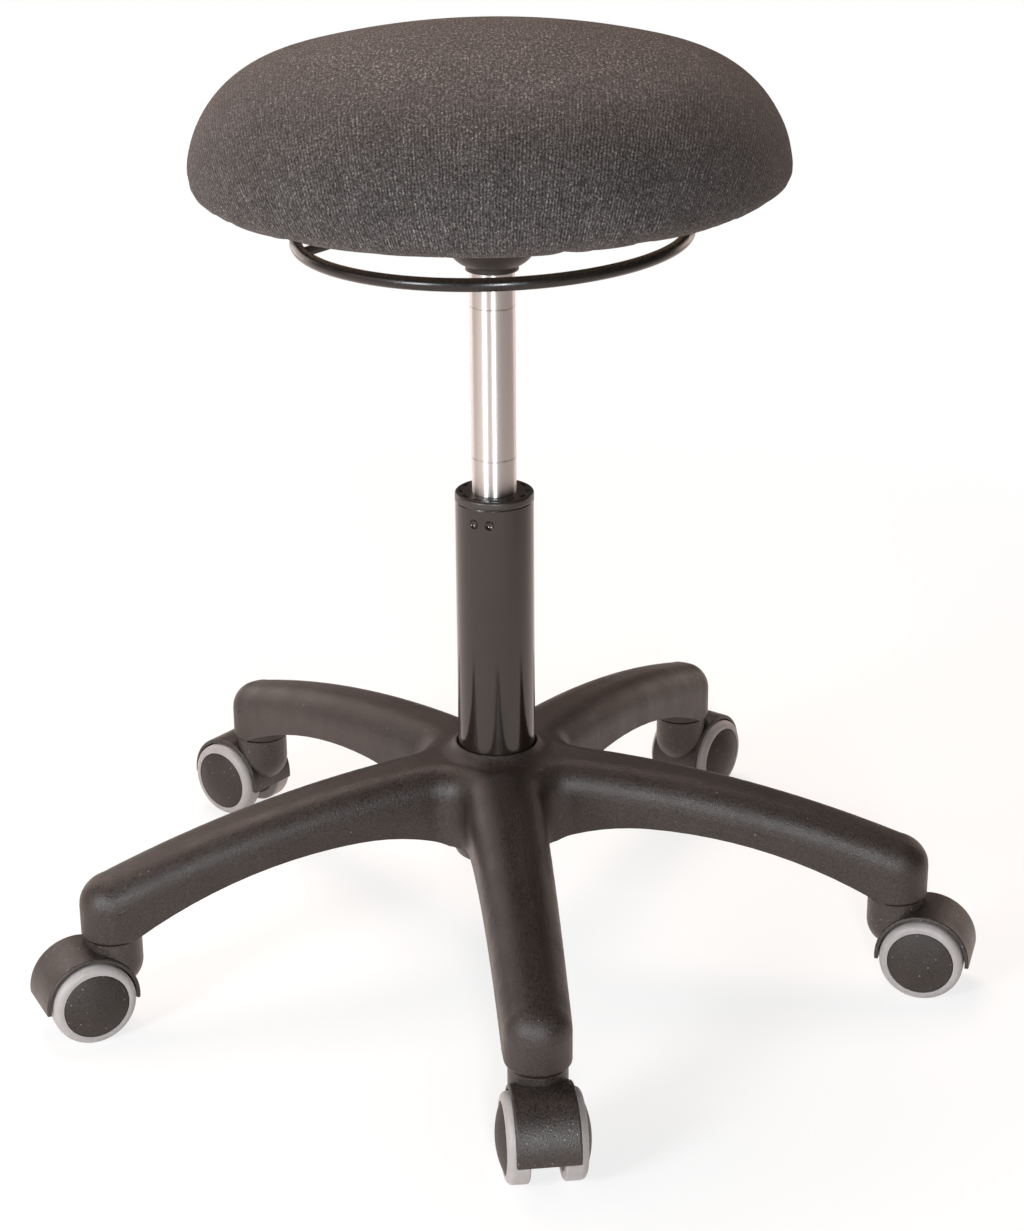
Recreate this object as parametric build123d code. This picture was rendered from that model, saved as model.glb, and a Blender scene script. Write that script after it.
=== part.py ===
from build123d import *
from math import asin, atan2, cos, degrees, hypot, radians, sin, sqrt, tan
import os

# Work stool: a round padded seat on a gas lift, with a ring release and a five-arm base on twin-wheel casters.
# Millimetres, +Z up, origin on the floor below the column's axis, -Y is the front.

# Seat upholstery
SEAT_UNDERSIDE = 512.6
SEAT_RADIUS = 180.6
SEAT_EDGE_ROUND = 11.0
SEAT_SHOULDER = 68.0
SEAT_CROWN_RISE = 83.0
COVER_THICK = 1.2
COVER_TURN_UNDER = 36.0
SOFT_GAP = 0.3
BOARD_INSET = 4.6
BOARD_THICK = 12.0

# Seat fasteners and mounting plate
PLATE_SIDE = 150.0
PLATE_CORNER = 18.0
PLATE_THICK = 3.0
BOLT_SPACING = 116.0
BOLT_RADIUS = 3.0
BOLT_END_GAP = 0.6
BOLT_HEAD_RADIUS = 5.8
BOLT_HEAD_HEIGHT = 4.0
BOLT_CLEARANCE = 0.3
WASHER_RADIUS = 6.5
WASHER_THICK = 1.6
TEE_FLANGE_RADIUS = 10.0
TEE_FLANGE_THICK = 1.2
TEE_BARREL_RADIUS = 4.6
TEE_BARREL_LENGTH = 9.0

# Seat hub, the bell that holds the lift's cone
HUB_RADIUS = 28.0
HUB_WALL = 3.0
HUB_STRAIGHT = 30.5
HUB_ROUND = 17.0
HUB_FLOOR_DROP = 3.0
SLEEVE_WALL = 2.4
SLEEVE_PROUD = 2.88
SLEEVE_TOP_DROP = 14.5
CONE_ANGLE = 1.36

# Release ring
RING_RADIUS = 119.0
RING_WIRE_RADIUS = 4.0
RING_DROP = 27.2
RING_REST_TILT = 1.42
RING_TRAVEL = 5.7
SPOKE_RADIUS = 3.0
SPOKE_AZIMUTH = 197.0
SPOKE_CLEARANCE = 0.5
PRESS_RADIUS = 13.0
PRESS_HEIGHT = 7.0
PRESS_GAP = 0.3
BUTTON_RADIUS = 4.0
BUTTON_PROUD = 5.7
BUTTON_LENGTH = 20.0
BUTTON_DOME = 2.0

# Gas lift
COLUMN_RADIUS = 25.0
COLUMN_WALL = 2.0
COLUMN_TOP = 313.8
COLUMN_BOTTOM = 74.8
FOOT_INSET = 2.0
FOOT_THICK = 4.0
DIMPLE_RADIUS = 4.0
DIMPLE_DEPTH = 1.6
DIMPLE_DROP = 10.0
DIMPLE_AZIMUTHS = (-31.0, -7.0)
GUIDE_LENGTH = 80.0
CAP_HEIGHT = 5.0
CAP_ROUND = 1.6
CAP_SLOTS = 12
CAP_SLOT_INSET = 4.0
CAP_SLOT_WIDTH = 2.2
CAP_SLOT_ARC = 17.0
CAP_SLOT_DEPTH = 2.5
TUBE_RADIUS = 14.0
TUBE_WALL = 2.0
TUBE_OVERLAP = 85.0
SLIDE_CLEARANCE = 0.1
LIFT_STROKE = 125.0
VALVE_LENGTH = 40.0
GUIDE_PLUG_INSET = 2.0
GUIDE_PLUG_LENGTH = 13.0
SEAL_LENGTH = 6.0
ROD_RADIUS = 5.0
ROD_TAIL = 8.0
RUN_CLEARANCE = 0.05
PISTON_LENGTH = 10.0
PISTON_CLEARANCE = 0.3
PISTON_RING_HEIGHT = 2.0
PISTON_RING_DEPTH = 1.5
PISTON_GAP = 0.3
RACE_RADIUS = 13.0
RACE_THICK = 2.5
BALL_RADIUS = 2.0
BALL_COUNT = 10
BALL_CIRCLE = 9.2
BALL_CLEARANCE = 0.04
BUMP_RADIUS = 11.0
BUMP_GAP = 0.3
CLIP_RADIUS = 8.0
CLIP_THICK = 1.2
CLIP_GROOVE = 1.0
CLIP_GAP = 0.2

# Five-arm base
ARM_COUNT = 5
ARM_AZIMUTH = 5.13
PIVOT_RADIUS = 262.5
HUB_TOP = 141.4
HUB_BOTTOM = 70.0
HUB_BOSS_WALL = 4.4
HUB_BOSS_TAPER = 4.0
HUB_MOUTH = 1.2
COLLAR_RISE = 5.4
COLLAR_LAND = 0.8
COLLAR_REACH = 11.0
COLLAR_SINK = 0.05
CREST_START = 46.0
CREST_BEND = 333.0
CREST_BEND_TURN = 3.2
CREST_SWEEP = 778.0
ARM_ROOT_WIDTH = 52.6
ARM_TIP_RADIUS = 20.0
ARM_CREST_FLAT = 1.5
ARM_VALLEY_ROUND = 16.0
VALLEY_REACH = 7.0
ARCH_PEAK = 105.0
ARCH_HEIGHT = 103.8
ARCH_INNER = 150.0
TIP_LANDING = 5.5
ARM_SHELL = 4.5
ARM_ROOF = 6.0
POCKET_START = 62.0
POCKET_END_WALL = 8.0
RIB_THICK = 3.0
RIB_COUNT = 3
RIB_DEPTH = 9.0
TIP_BOTTOM = 63.2
TIP_EDGE_ROUND = 2.5
TIP_BOSS_INSET = 0.8
TIP_BOSS_HEIGHT = 16.0
TIP_BOSS_CHAMFER = 1.2
RING_INSERT_COVER = 1.3
RING_INSERT_WALL = 3.0
RING_INSERT_HEIGHT = 6.0

# Casters
WHEEL_RADIUS = 26.8
WHEEL_GAP = 20.0
TREAD_WIDTH = 13.4
TREAD_DEPTH = 5.6
TREAD_ROUND = 4.5
TREAD_INNER_ROUND = 1.5
CAP_BULGE = 4.3
CAP_RIM = 0.6
CASTER_TRAIL = 20.9
CASTER_ANGLES = (7.0, 73.6, 143.2, 231.6, 296.0)
NECK_RADIUS = 17.7
NECK_TOP_GAP = 1.0
NECK_STRAIGHT = 17.0
HOOD_CLEARANCE = 1.0
HOOD_WALL = 2.6
HOOD_WIDTH = 37.6
HOOD_EDGE_ROUND = 1.4
HOOD_FRONT_ANGLE = 186.0
HOOD_REAR_ANGLE = -4.0
WEB_WIDTH = 17.0
WEB_BOSS_RADIUS = 8.0
AXLE_RADIUS = 3.0
AXLE_DEPTH = 8.0
STEM_RADIUS = 5.4
STEM_IN_BASE = 22.0
STEM_IN_NECK = 26.0
STEM_FLANGE_RADIUS = 9.0
STEM_FLANGE_THICK = 0.8
GRIP_HEIGHT = 4.0
GRIP_DEPTH = 0.9
GRIP_SLIT = 1.5
GRIP_DROP = 5.0

# Heights and sizes that follow from the values above
OVERCUT = 1.0
SEAT_WIDEST = SEAT_UNDERSIDE + SEAT_EDGE_ROUND
BOARD_RADIUS = SEAT_RADIUS - SEAT_EDGE_ROUND - BOARD_INSET
BOARD_BOTTOM = SEAT_UNDERSIDE + COVER_THICK + SOFT_GAP
BOARD_TOP = BOARD_BOTTOM + BOARD_THICK
PLATE_BOTTOM = BOARD_BOTTOM - PLATE_THICK
BOLT_LENGTH = WASHER_THICK + PLATE_THICK + BOARD_THICK - BOLT_END_GAP
SLEEVE_RADIUS = TUBE_RADIUS + SLEEVE_WALL
BELL_CENTRE = HUB_RADIUS - HUB_ROUND
BELL_TOP = PLATE_BOTTOM - HUB_STRAIGHT
BELL_END = BELL_TOP - sqrt(HUB_ROUND ** 2 - (SLEEVE_RADIUS - BELL_CENTRE) ** 2)
HUB_END = BELL_END - SLEEVE_PROUD
SLEEVE_TOP = PLATE_BOTTOM - SLEEVE_TOP_DROP
RING_HEIGHT = PLATE_BOTTOM - RING_DROP
BUTTON_TOP = SLEEVE_TOP + BUTTON_PROUD
PRESS_BOTTOM = BUTTON_TOP + PRESS_GAP
PRESS_MIDDLE = PRESS_BOTTOM + PRESS_HEIGHT / 2
SPOKE_SLOPE = atan2(PRESS_MIDDLE - RING_HEIGHT, RING_RADIUS - PRESS_RADIUS)
FULCRUM_RADIUS = HUB_RADIUS - HUB_WALL / 2
CAP_TOP = COLUMN_TOP + CAP_HEIGHT
CAP_SLOT_RADIUS = COLUMN_RADIUS - CAP_SLOT_INSET
TUBE_BOTTOM = CAP_TOP - TUBE_OVERLAP
TUBE_BORE = TUBE_RADIUS - TUBE_WALL
FOOT_BOTTOM = COLUMN_BOTTOM + FOOT_INSET
FOOT_TOP = FOOT_BOTTOM + FOOT_THICK
SEAL_TOP = TUBE_BOTTOM + GUIDE_PLUG_INSET + GUIDE_PLUG_LENGTH + SEAL_LENGTH
PISTON_BOTTOM = SEAL_TOP + PISTON_GAP
BALL_MIDDLE = FOOT_TOP + RACE_THICK + BALL_CLEARANCE + BALL_RADIUS
UPPER_RACE_BOTTOM = BALL_MIDDLE + BALL_RADIUS + BALL_CLEARANCE
BUMP_BOTTOM = UPPER_RACE_BOTTOM + RACE_THICK
BUMP_TOP = TUBE_BOTTOM - LIFT_STROKE - BUMP_GAP
CLIP_TOP = FOOT_BOTTOM - CLIP_GAP
NECK_TOP = TIP_BOTTOM - NECK_TOP_GAP
HOOD_BORE = WHEEL_RADIUS + HOOD_CLEARANCE
HOOD_RADIUS = HOOD_BORE + HOOD_WALL
RIM_RADIUS = WHEEL_RADIUS - TREAD_DEPTH
TIP_BOSS_RADIUS = ARM_TIP_RADIUS - TIP_BOSS_INSET
ARM_EDGE_ROUND = ARM_TIP_RADIUS - ARM_CREST_FLAT
ARCH_DROP = ARCH_HEIGHT - TIP_BOTTOM
ARCH_END = PIVOT_RADIUS - TIP_LANDING
ARCH_OUTER = ((ARCH_END - ARCH_PEAK) ** 2 + ARCH_DROP ** 2) / (2 * ARCH_DROP)


def upright(radius, bottom, top):
    """Solid cylinder about Z between two heights."""
    return Pos(0, 0, bottom) * Cylinder(radius, top - bottom, align=(Align.CENTER, Align.CENTER, Align.MIN))


def pipe(outer, inner, bottom, top):
    """Hollow cylinder about Z between two heights."""
    return upright(outer, bottom, top) - upright(inner, bottom - OVERCUT, top + OVERCUT)


def turned(*edges):
    """Solid turned about Z from edges drawn as radius and height."""
    return revolve(Plane.XZ * make_face(edges), Axis.Z)


def turned_outline(points):
    """Solid turned about Z from corner points of radius and height."""
    return turned(*Polyline(*points, close=True).edges())


def spun(shape, angle):
    """The shape turned about Z by an angle in degrees."""
    return Rot(0, 0, angle) * shape


def column_radius(height):
    """Outer radius of the column tube, tapered where it sits in the base."""
    return COLUMN_RADIUS - max(0.0, HUB_TOP - height) * tan(radians(CONE_ANGLE))


def cone_radius(height):
    """Outer radius of the pressure tube, tapered where it sits in the seat hub."""
    return TUBE_RADIUS - max(0.0, height - HUB_END) * tan(radians(CONE_ANGLE))


def bolt_places():
    half = BOLT_SPACING / 2
    return [(x, y) for x in (-half, half) for y in (-half, half)]


# Seat

def dome(inset, bottom):
    """The upholstered form, drawn in by an inset, above a flat underside."""
    radius = SEAT_RADIUS - inset
    rise = SEAT_CROWN_RISE - inset
    shoulder = SEAT_SHOULDER - inset
    edge_round = SEAT_EDGE_ROUND - inset
    crown = (radius ** 2 + rise ** 2 - 2 * radius * shoulder) / (2 * (rise - shoulder))
    crown_centre = SEAT_WIDEST + rise - crown
    join_angle = atan2(SEAT_WIDEST - crown_centre, radius - shoulder)
    join = (crown * cos(join_angle), crown_centre + crown * sin(join_angle))
    half_angle = (join_angle + radians(90)) / 2
    crown_middle = (crown * cos(half_angle), crown_centre + crown * sin(half_angle))
    shoulder_middle = (
        radius - shoulder + shoulder * cos(join_angle / 2),
        SEAT_WIDEST + shoulder * sin(join_angle / 2),
    )
    top = (0, SEAT_WIDEST + rise)
    widest = (radius, SEAT_WIDEST)
    drop = SEAT_WIDEST - bottom
    tuck = sqrt(max(0.0, edge_round ** 2 - min(drop, edge_round) ** 2))
    heel = (radius - edge_round + tuck, bottom)
    tuck_angle = atan2(-drop, tuck) / 2
    edge_middle = (radius - edge_round + edge_round * cos(tuck_angle), SEAT_WIDEST + edge_round * sin(tuck_angle))
    return turned(
        Line((0, bottom), heel),
        ThreePointArc(heel, edge_middle, widest),
        ThreePointArc(widest, shoulder_middle, join),
        ThreePointArc(join, crown_middle, top),
        Line(top, (0, bottom)),
    )


def seat_cover():
    inside = dome(COVER_THICK, SEAT_UNDERSIDE + COVER_THICK)
    mouth = upright(SEAT_RADIUS - SEAT_EDGE_ROUND - COVER_TURN_UNDER, SEAT_UNDERSIDE - OVERCUT, BOARD_BOTTOM)
    return dome(0, SEAT_UNDERSIDE) - inside - mouth


def seat_foam():
    pad = dome(COVER_THICK + SOFT_GAP, BOARD_BOTTOM)
    return pad - upright(BOARD_RADIUS + SOFT_GAP, BOARD_BOTTOM - OVERCUT, BOARD_TOP + SOFT_GAP)


def seat_board():
    board = upright(BOARD_RADIUS, BOARD_BOTTOM, BOARD_TOP)
    for x, y in bolt_places():
        board -= Pos(x, y) * upright(TEE_BARREL_RADIUS, BOARD_BOTTOM - OVERCUT, BOARD_TOP + OVERCUT)
        board -= Pos(x, y) * upright(TEE_FLANGE_RADIUS, BOARD_TOP - TEE_FLANGE_THICK, BOARD_TOP + OVERCUT)
    return board


def tee_nut():
    flange_bottom = BOARD_TOP - TEE_FLANGE_THICK
    nut = upright(TEE_FLANGE_RADIUS, flange_bottom, BOARD_TOP)
    nut += upright(TEE_BARREL_RADIUS, flange_bottom - TEE_BARREL_LENGTH, flange_bottom)
    return nut - upright(BOLT_RADIUS, flange_bottom - TEE_BARREL_LENGTH - OVERCUT, BOARD_TOP + OVERCUT)


def seat_bolt():
    seat = PLATE_BOTTOM - WASHER_THICK
    head = Pos(0, 0, seat - BOLT_HEAD_HEIGHT) * extrude(RegularPolygon(BOLT_HEAD_RADIUS, 6), BOLT_HEAD_HEIGHT)
    return head + upright(BOLT_RADIUS, seat, seat + BOLT_LENGTH)


def bolt_washer():
    return pipe(WASHER_RADIUS, BOLT_RADIUS + BOLT_CLEARANCE, PLATE_BOTTOM - WASHER_THICK, PLATE_BOTTOM)


def mounting_plate():
    plate = Pos(0, 0, PLATE_BOTTOM) * extrude(RectangleRounded(PLATE_SIDE, PLATE_SIDE, PLATE_CORNER), PLATE_THICK)
    plate -= upright(HUB_RADIUS - HUB_WALL, PLATE_BOTTOM - OVERCUT, BOARD_BOTTOM + OVERCUT)
    for x, y in bolt_places():
        plate -= Pos(x, y) * upright(BOLT_RADIUS + BOLT_CLEARANCE, PLATE_BOTTOM - OVERCUT, BOARD_BOTTOM + OVERCUT)
    return plate


def spoke_height(radius):
    """Height of the spokes' centreline when the ring is level."""
    return PRESS_MIDDLE - (radius - PRESS_RADIUS) * tan(SPOKE_SLOPE)


def ring_tilt():
    """The ring's resting tilt, about the top of the valve button."""
    return Pos(0, 0, BUTTON_TOP) * Rot(0, -RING_REST_TILT, 0) * Pos(0, 0, -BUTTON_TOP)


def spoke_slot(azimuth):
    """Slot in the hub's wall for a spoke, with room for the spoke to drop as the ring is lifted."""
    half_wall = HUB_WALL / 2
    rest = spoke_height(FULCRUM_RADIUS) + FULCRUM_RADIUS * cos(radians(azimuth)) * tan(radians(RING_REST_TILT))
    steep = tan(SPOKE_SLOPE + radians(RING_REST_TILT))
    reach = (SPOKE_RADIUS + SPOKE_CLEARANCE) / cos(SPOKE_SLOPE) + half_wall * steep
    fall = 2 * FULCRUM_RADIUS * tan(radians(RING_TRAVEL))
    height = 2 * reach + fall
    width = 2 * (SPOKE_RADIUS + SPOKE_CLEARANCE)
    slot = Box(HUB_WALL + 4 * OVERCUT, width, height)
    return spun(Pos(FULCRUM_RADIUS, 0, rest + reach - height / 2) * slot, azimuth)


def seat_hub():
    middle = (atan2(BELL_END - BELL_TOP, SLEEVE_RADIUS - BELL_CENTRE)) / 2
    bell_middle = (BELL_CENTRE + HUB_ROUND * cos(middle), BELL_TOP + HUB_ROUND * sin(middle))
    bell = turned(
        Line((0, HUB_END), (SLEEVE_RADIUS, HUB_END)),
        Line((SLEEVE_RADIUS, HUB_END), (SLEEVE_RADIUS, BELL_END)),
        ThreePointArc((SLEEVE_RADIUS, BELL_END), bell_middle, (HUB_RADIUS, BELL_TOP)),
        Line((HUB_RADIUS, BELL_TOP), (HUB_RADIUS, PLATE_BOTTOM)),
        Line((HUB_RADIUS, PLATE_BOTTOM), (0, PLATE_BOTTOM)),
        Line((0, PLATE_BOTTOM), (0, HUB_END)),
    )
    floor = BELL_TOP - HUB_FLOOR_DROP
    bell -= pipe(HUB_RADIUS - HUB_WALL, SLEEVE_RADIUS, floor, PLATE_BOTTOM + OVERCUT)
    bell -= upright(SLEEVE_RADIUS + OVERCUT, SLEEVE_TOP, PLATE_BOTTOM + OVERCUT)
    bell -= turned_outline([
        (0, HUB_END - OVERCUT),
        (TUBE_RADIUS, HUB_END - OVERCUT),
        (TUBE_RADIUS, HUB_END),
        (cone_radius(SLEEVE_TOP + OVERCUT), SLEEVE_TOP + OVERCUT),
        (0, SLEEVE_TOP + OVERCUT),
    ])
    for azimuth in (SPOKE_AZIMUTH, SPOKE_AZIMUTH - 180):
        bell -= spoke_slot(azimuth)
    return bell


# Release

def release_ring():
    return ring_tilt() * Pos(0, 0, RING_HEIGHT) * Torus(RING_RADIUS, RING_WIRE_RADIUS)


def ring_spokes():
    length = (RING_RADIUS - PRESS_RADIUS) / cos(SPOKE_SLOPE)
    middle = (RING_RADIUS + PRESS_RADIUS) / 2
    wire = Pos(middle, 0, spoke_height(middle)) * Rot(0, 90 + degrees(SPOKE_SLOPE), 0)
    wire = wire * Cylinder(SPOKE_RADIUS, length + 2 * SPOKE_RADIUS)
    wire -= Pos(0, 0, RING_HEIGHT) * Torus(RING_RADIUS, RING_WIRE_RADIUS)
    wire -= upright(PRESS_RADIUS, PRESS_BOTTOM - PRESS_HEIGHT, PRESS_BOTTOM + 2 * PRESS_HEIGHT)
    inner = max(wire.solids(), key=lambda piece: piece.volume)
    return [ring_tilt() * spun(inner, azimuth) for azimuth in (SPOKE_AZIMUTH, SPOKE_AZIMUTH - 180)]


def press_hub():
    return ring_tilt() * upright(PRESS_RADIUS, PRESS_BOTTOM, PRESS_BOTTOM + PRESS_HEIGHT)


def release_button():
    button = upright(BUTTON_RADIUS, BUTTON_TOP - BUTTON_LENGTH, BUTTON_TOP)
    return fillet(button.edges().sort_by(Axis.Z)[-1], BUTTON_DOME)


# Gas lift

def pressure_tube():
    return turned_outline([
        (TUBE_BORE, TUBE_BOTTOM),
        (TUBE_RADIUS, TUBE_BOTTOM),
        (TUBE_RADIUS, HUB_END),
        (cone_radius(SLEEVE_TOP), SLEEVE_TOP),
        (TUBE_BORE, SLEEVE_TOP),
    ])


def valve_body():
    travel = FULCRUM_RADIUS * tan(radians(RING_TRAVEL))
    well = BUTTON_TOP - BUTTON_LENGTH - travel - PRESS_GAP
    plug = upright(TUBE_BORE, SLEEVE_TOP - VALVE_LENGTH, SLEEVE_TOP)
    return plug - upright(BUTTON_RADIUS + RUN_CLEARANCE, well, SLEEVE_TOP + OVERCUT)


def rod_guide():
    bottom = TUBE_BOTTOM + GUIDE_PLUG_INSET
    return pipe(TUBE_BORE, ROD_RADIUS + RUN_CLEARANCE, bottom, bottom + GUIDE_PLUG_LENGTH)


def rod_seal():
    return pipe(TUBE_BORE, ROD_RADIUS + RUN_CLEARANCE, SEAL_TOP - SEAL_LENGTH, SEAL_TOP)


def column_tube():
    outer = turned_outline([
        (0, COLUMN_BOTTOM),
        (column_radius(COLUMN_BOTTOM), COLUMN_BOTTOM),
        (COLUMN_RADIUS, HUB_TOP),
        (COLUMN_RADIUS, COLUMN_TOP),
        (0, COLUMN_TOP),
    ])
    bore = turned_outline([
        (0, FOOT_TOP),
        (column_radius(FOOT_TOP) - COLUMN_WALL, FOOT_TOP),
        (COLUMN_RADIUS - COLUMN_WALL, HUB_TOP),
        (COLUMN_RADIUS - COLUMN_WALL, COLUMN_TOP + OVERCUT),
        (0, COLUMN_TOP + OVERCUT),
    ])
    foot_recess = upright(column_radius(COLUMN_BOTTOM) - COLUMN_WALL, COLUMN_BOTTOM - OVERCUT, FOOT_BOTTOM)
    rod_hole = upright(ROD_RADIUS + PISTON_CLEARANCE, COLUMN_BOTTOM, FOOT_TOP + OVERCUT)
    body = outer - bore - foot_recess - rod_hole
    for azimuth in DIMPLE_AZIMUTHS:
        centre = Pos(COLUMN_RADIUS + DIMPLE_RADIUS - DIMPLE_DEPTH, 0, COLUMN_TOP - DIMPLE_DROP)
        body -= spun(centre * Sphere(DIMPLE_RADIUS), azimuth - 90)
    return body


def guide_bush():
    bush = upright(COLUMN_RADIUS - COLUMN_WALL, COLUMN_TOP - GUIDE_LENGTH, COLUMN_TOP)
    cap = upright(COLUMN_RADIUS, COLUMN_TOP, CAP_TOP)
    cap = fillet(cap.edges().sort_by(Axis.Z)[-1], CAP_ROUND)
    bush += cap
    bush -= upright(TUBE_RADIUS + SLIDE_CLEARANCE, COLUMN_TOP - GUIDE_LENGTH - OVERCUT, CAP_TOP + OVERCUT)
    ring = pipe(
        CAP_SLOT_RADIUS + CAP_SLOT_WIDTH / 2,
        CAP_SLOT_RADIUS - CAP_SLOT_WIDTH / 2,
        CAP_TOP - CAP_SLOT_DEPTH,
        CAP_TOP + OVERCUT,
    )
    half = CAP_SLOT_ARC / 2
    reach = 2 * COLUMN_RADIUS
    corners = [(0, 0), (reach, -reach * tan(radians(half))), (reach, reach * tan(radians(half)))]
    wedge = Pos(0, 0, COLUMN_TOP) * extrude(make_face(Polyline(*corners, close=True)), 2 * CAP_HEIGHT)
    slot = ring & wedge
    for index in range(CAP_SLOTS):
        bush -= spun(slot, index * 360 / CAP_SLOTS)
    return bush


def piston_rod():
    rod = upright(ROD_RADIUS, FOOT_BOTTOM - ROD_TAIL, PISTON_BOTTOM + PISTON_LENGTH)
    return rod - pipe(2 * ROD_RADIUS, ROD_RADIUS - CLIP_GROOVE, CLIP_TOP - CLIP_THICK, CLIP_TOP)


def piston():
    middle = PISTON_BOTTOM + PISTON_LENGTH / 2
    body = pipe(TUBE_BORE - PISTON_CLEARANCE, ROD_RADIUS, PISTON_BOTTOM, PISTON_BOTTOM + PISTON_LENGTH)
    groove = TUBE_BORE - RUN_CLEARANCE - PISTON_RING_DEPTH
    return body - pipe(TUBE_RADIUS, groove, middle - PISTON_RING_HEIGHT / 2, middle + PISTON_RING_HEIGHT / 2)


def piston_ring():
    middle = PISTON_BOTTOM + PISTON_LENGTH / 2
    outer = TUBE_BORE - RUN_CLEARANCE
    half = PISTON_RING_HEIGHT / 2
    return pipe(outer, outer - PISTON_RING_DEPTH, middle - half, middle + half)


def bump_stop():
    return pipe(BUMP_RADIUS, ROD_RADIUS, BUMP_BOTTOM, BUMP_TOP)


def bearing_race_lower():
    return pipe(RACE_RADIUS, ROD_RADIUS + PISTON_CLEARANCE, FOOT_TOP, FOOT_TOP + RACE_THICK)


def bearing_race_upper():
    return pipe(RACE_RADIUS, ROD_RADIUS, UPPER_RACE_BOTTOM, UPPER_RACE_BOTTOM + RACE_THICK)


def bearing_balls():
    ball = Pos(BALL_CIRCLE, 0, BALL_MIDDLE) * Sphere(BALL_RADIUS)
    return [spun(ball, index * 360 / BALL_COUNT) for index in range(BALL_COUNT)]


def retaining_clip():
    return pipe(CLIP_RADIUS, ROD_RADIUS - CLIP_GROOVE, CLIP_TOP - CLIP_THICK, CLIP_TOP)


# Base

def crest():
    """The arm's top line, from the hub outwards, as radius and height."""
    flat = Line((0, HUB_TOP), (CREST_START, HUB_TOP))
    bend = JernArc(flat @ 1, flat % 1, CREST_BEND, -CREST_BEND_TURN)
    start = CREST_START + CREST_BEND * sin(radians(CREST_BEND_TURN))
    end = PIVOT_RADIUS + 2 * ARM_TIP_RADIUS
    end_slope = asin((end - start) / CREST_SWEEP + sin(radians(CREST_BEND_TURN)))
    sweep = JernArc(bend @ 1, bend % 1, CREST_SWEEP, CREST_BEND_TURN - degrees(end_slope))
    return [flat, bend, sweep]


def arm_side(lowered, inner, outer):
    """Side view of an arm between two radii, with its top lowered by a wall."""
    top = crest()
    top_end = top[-1] @ 1
    arch_start_height = ARCH_HEIGHT - ARCH_INNER + sqrt(ARCH_INNER ** 2 - (ARCH_PEAK - CREST_START) ** 2)
    peak = (ARCH_PEAK, ARCH_HEIGHT)
    inner_middle = (ARCH_PEAK + CREST_START) / 2
    outer_middle = (ARCH_PEAK + ARCH_END) / 2
    edges = [
        *top,
        Line(top_end, (top_end.X, TIP_BOTTOM)),
        Line((top_end.X, TIP_BOTTOM), (ARCH_END, TIP_BOTTOM)),
        ThreePointArc((ARCH_END, TIP_BOTTOM), (outer_middle, arch_height(outer_middle)), peak),
        ThreePointArc(peak, (inner_middle, arch_height(inner_middle)), (CREST_START, arch_start_height)),
        Line((CREST_START, arch_start_height), (0, arch_start_height)),
        Line((0, arch_start_height), (0, HUB_TOP)),
    ]
    side = extrude(Plane.XZ * make_face(edges), ARM_ROOT_WIDTH / 2 + VALLEY_REACH, both=True)
    if lowered:
        below = Pos(0, 0, -ARM_ROOT_WIDTH) * side
        side = Pos(0, 0, -lowered) * side + below
    window = Box(outer - inner, 2 * ARM_ROOT_WIDTH, 4 * HUB_TOP)
    return side & (Pos((inner + outer) / 2, 0, HUB_TOP) * window)


def arch_height(radius):
    """Height of the arm's underside."""
    bend = ARCH_INNER if radius < ARCH_PEAK else ARCH_OUTER
    return ARCH_HEIGHT - bend + sqrt(bend ** 2 - (radius - ARCH_PEAK) ** 2)


def arm_plan(inset):
    """Plan of an arm: straight tapered sides and a round tip about the caster's pivot."""
    root = ARM_ROOT_WIDTH / 2 - inset
    tip = ARM_TIP_RADIUS - inset
    lean = asin((root - tip) / PIVOT_RADIUS)
    touch = (PIVOT_RADIUS + tip * sin(lean), tip * cos(lean))
    outline = [
        Line((0, -root), (touch[0], -touch[1])),
        ThreePointArc((touch[0], -touch[1]), (PIVOT_RADIUS + tip, 0), touch),
        Line(touch, (0, root)),
        Line((0, root), (0, -root)),
    ]
    return make_face(outline)


def star_plan():
    """Plan of the five arms, with rounded valleys between them."""
    plan = Sketch()
    for index in range(ARM_COUNT):
        plan += spun(arm_plan(0), index * 360 / ARM_COUNT)
    valleys = [corner for corner in plan.vertices() if hypot(corner.X, corner.Y) < PIVOT_RADIUS / 2]
    return fillet(valleys, ARM_VALLEY_ROUND)


def roof_edge(edge):
    """Whether an edge of the bare pocket runs along the arm at the side of its roof."""
    middle = edge @ 0.5
    return abs(middle.Y) > OVERCUT and middle.Z > crest_height(middle.X) - ARM_ROOF - OVERCUT


def arm_pocket():
    """Hollow under an arm, left open below, with cross ribs in its roof."""
    outer = PIVOT_RADIUS - TIP_BOSS_RADIUS - POCKET_END_WALL
    pocket = arm_side(ARM_ROOF, POCKET_START, outer) & extrude(arm_plan(ARM_SHELL), 2 * HUB_TOP)
    pocket = fillet([edge for edge in pocket.edges() if roof_edge(edge)], ARM_EDGE_ROUND - ARM_SHELL)
    spacing = (outer - POCKET_START) / (RIB_COUNT + 1)
    for index in range(1, RIB_COUNT + 1):
        place = POCKET_START + index * spacing
        floor = arch_height(place) + RIB_DEPTH
        rib = Box(RIB_THICK, 2 * ARM_ROOT_WIDTH, HUB_TOP, align=(Align.CENTER, Align.CENTER, Align.MIN))
        pocket -= Pos(place, 0, floor) * rib
    return pocket


def tip_boss():
    boss = upright(TIP_BOSS_RADIUS, TIP_BOTTOM, TIP_BOTTOM + TIP_BOSS_HEIGHT)
    return chamfer(boss.edges().sort_by(Axis.Z)[0], TIP_BOSS_CHAMFER)


def arm_angle(index):
    """Direction of an arm about Z, counted from +X."""
    return ARM_AZIMUTH + index * 360 / ARM_COUNT - 90


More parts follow.
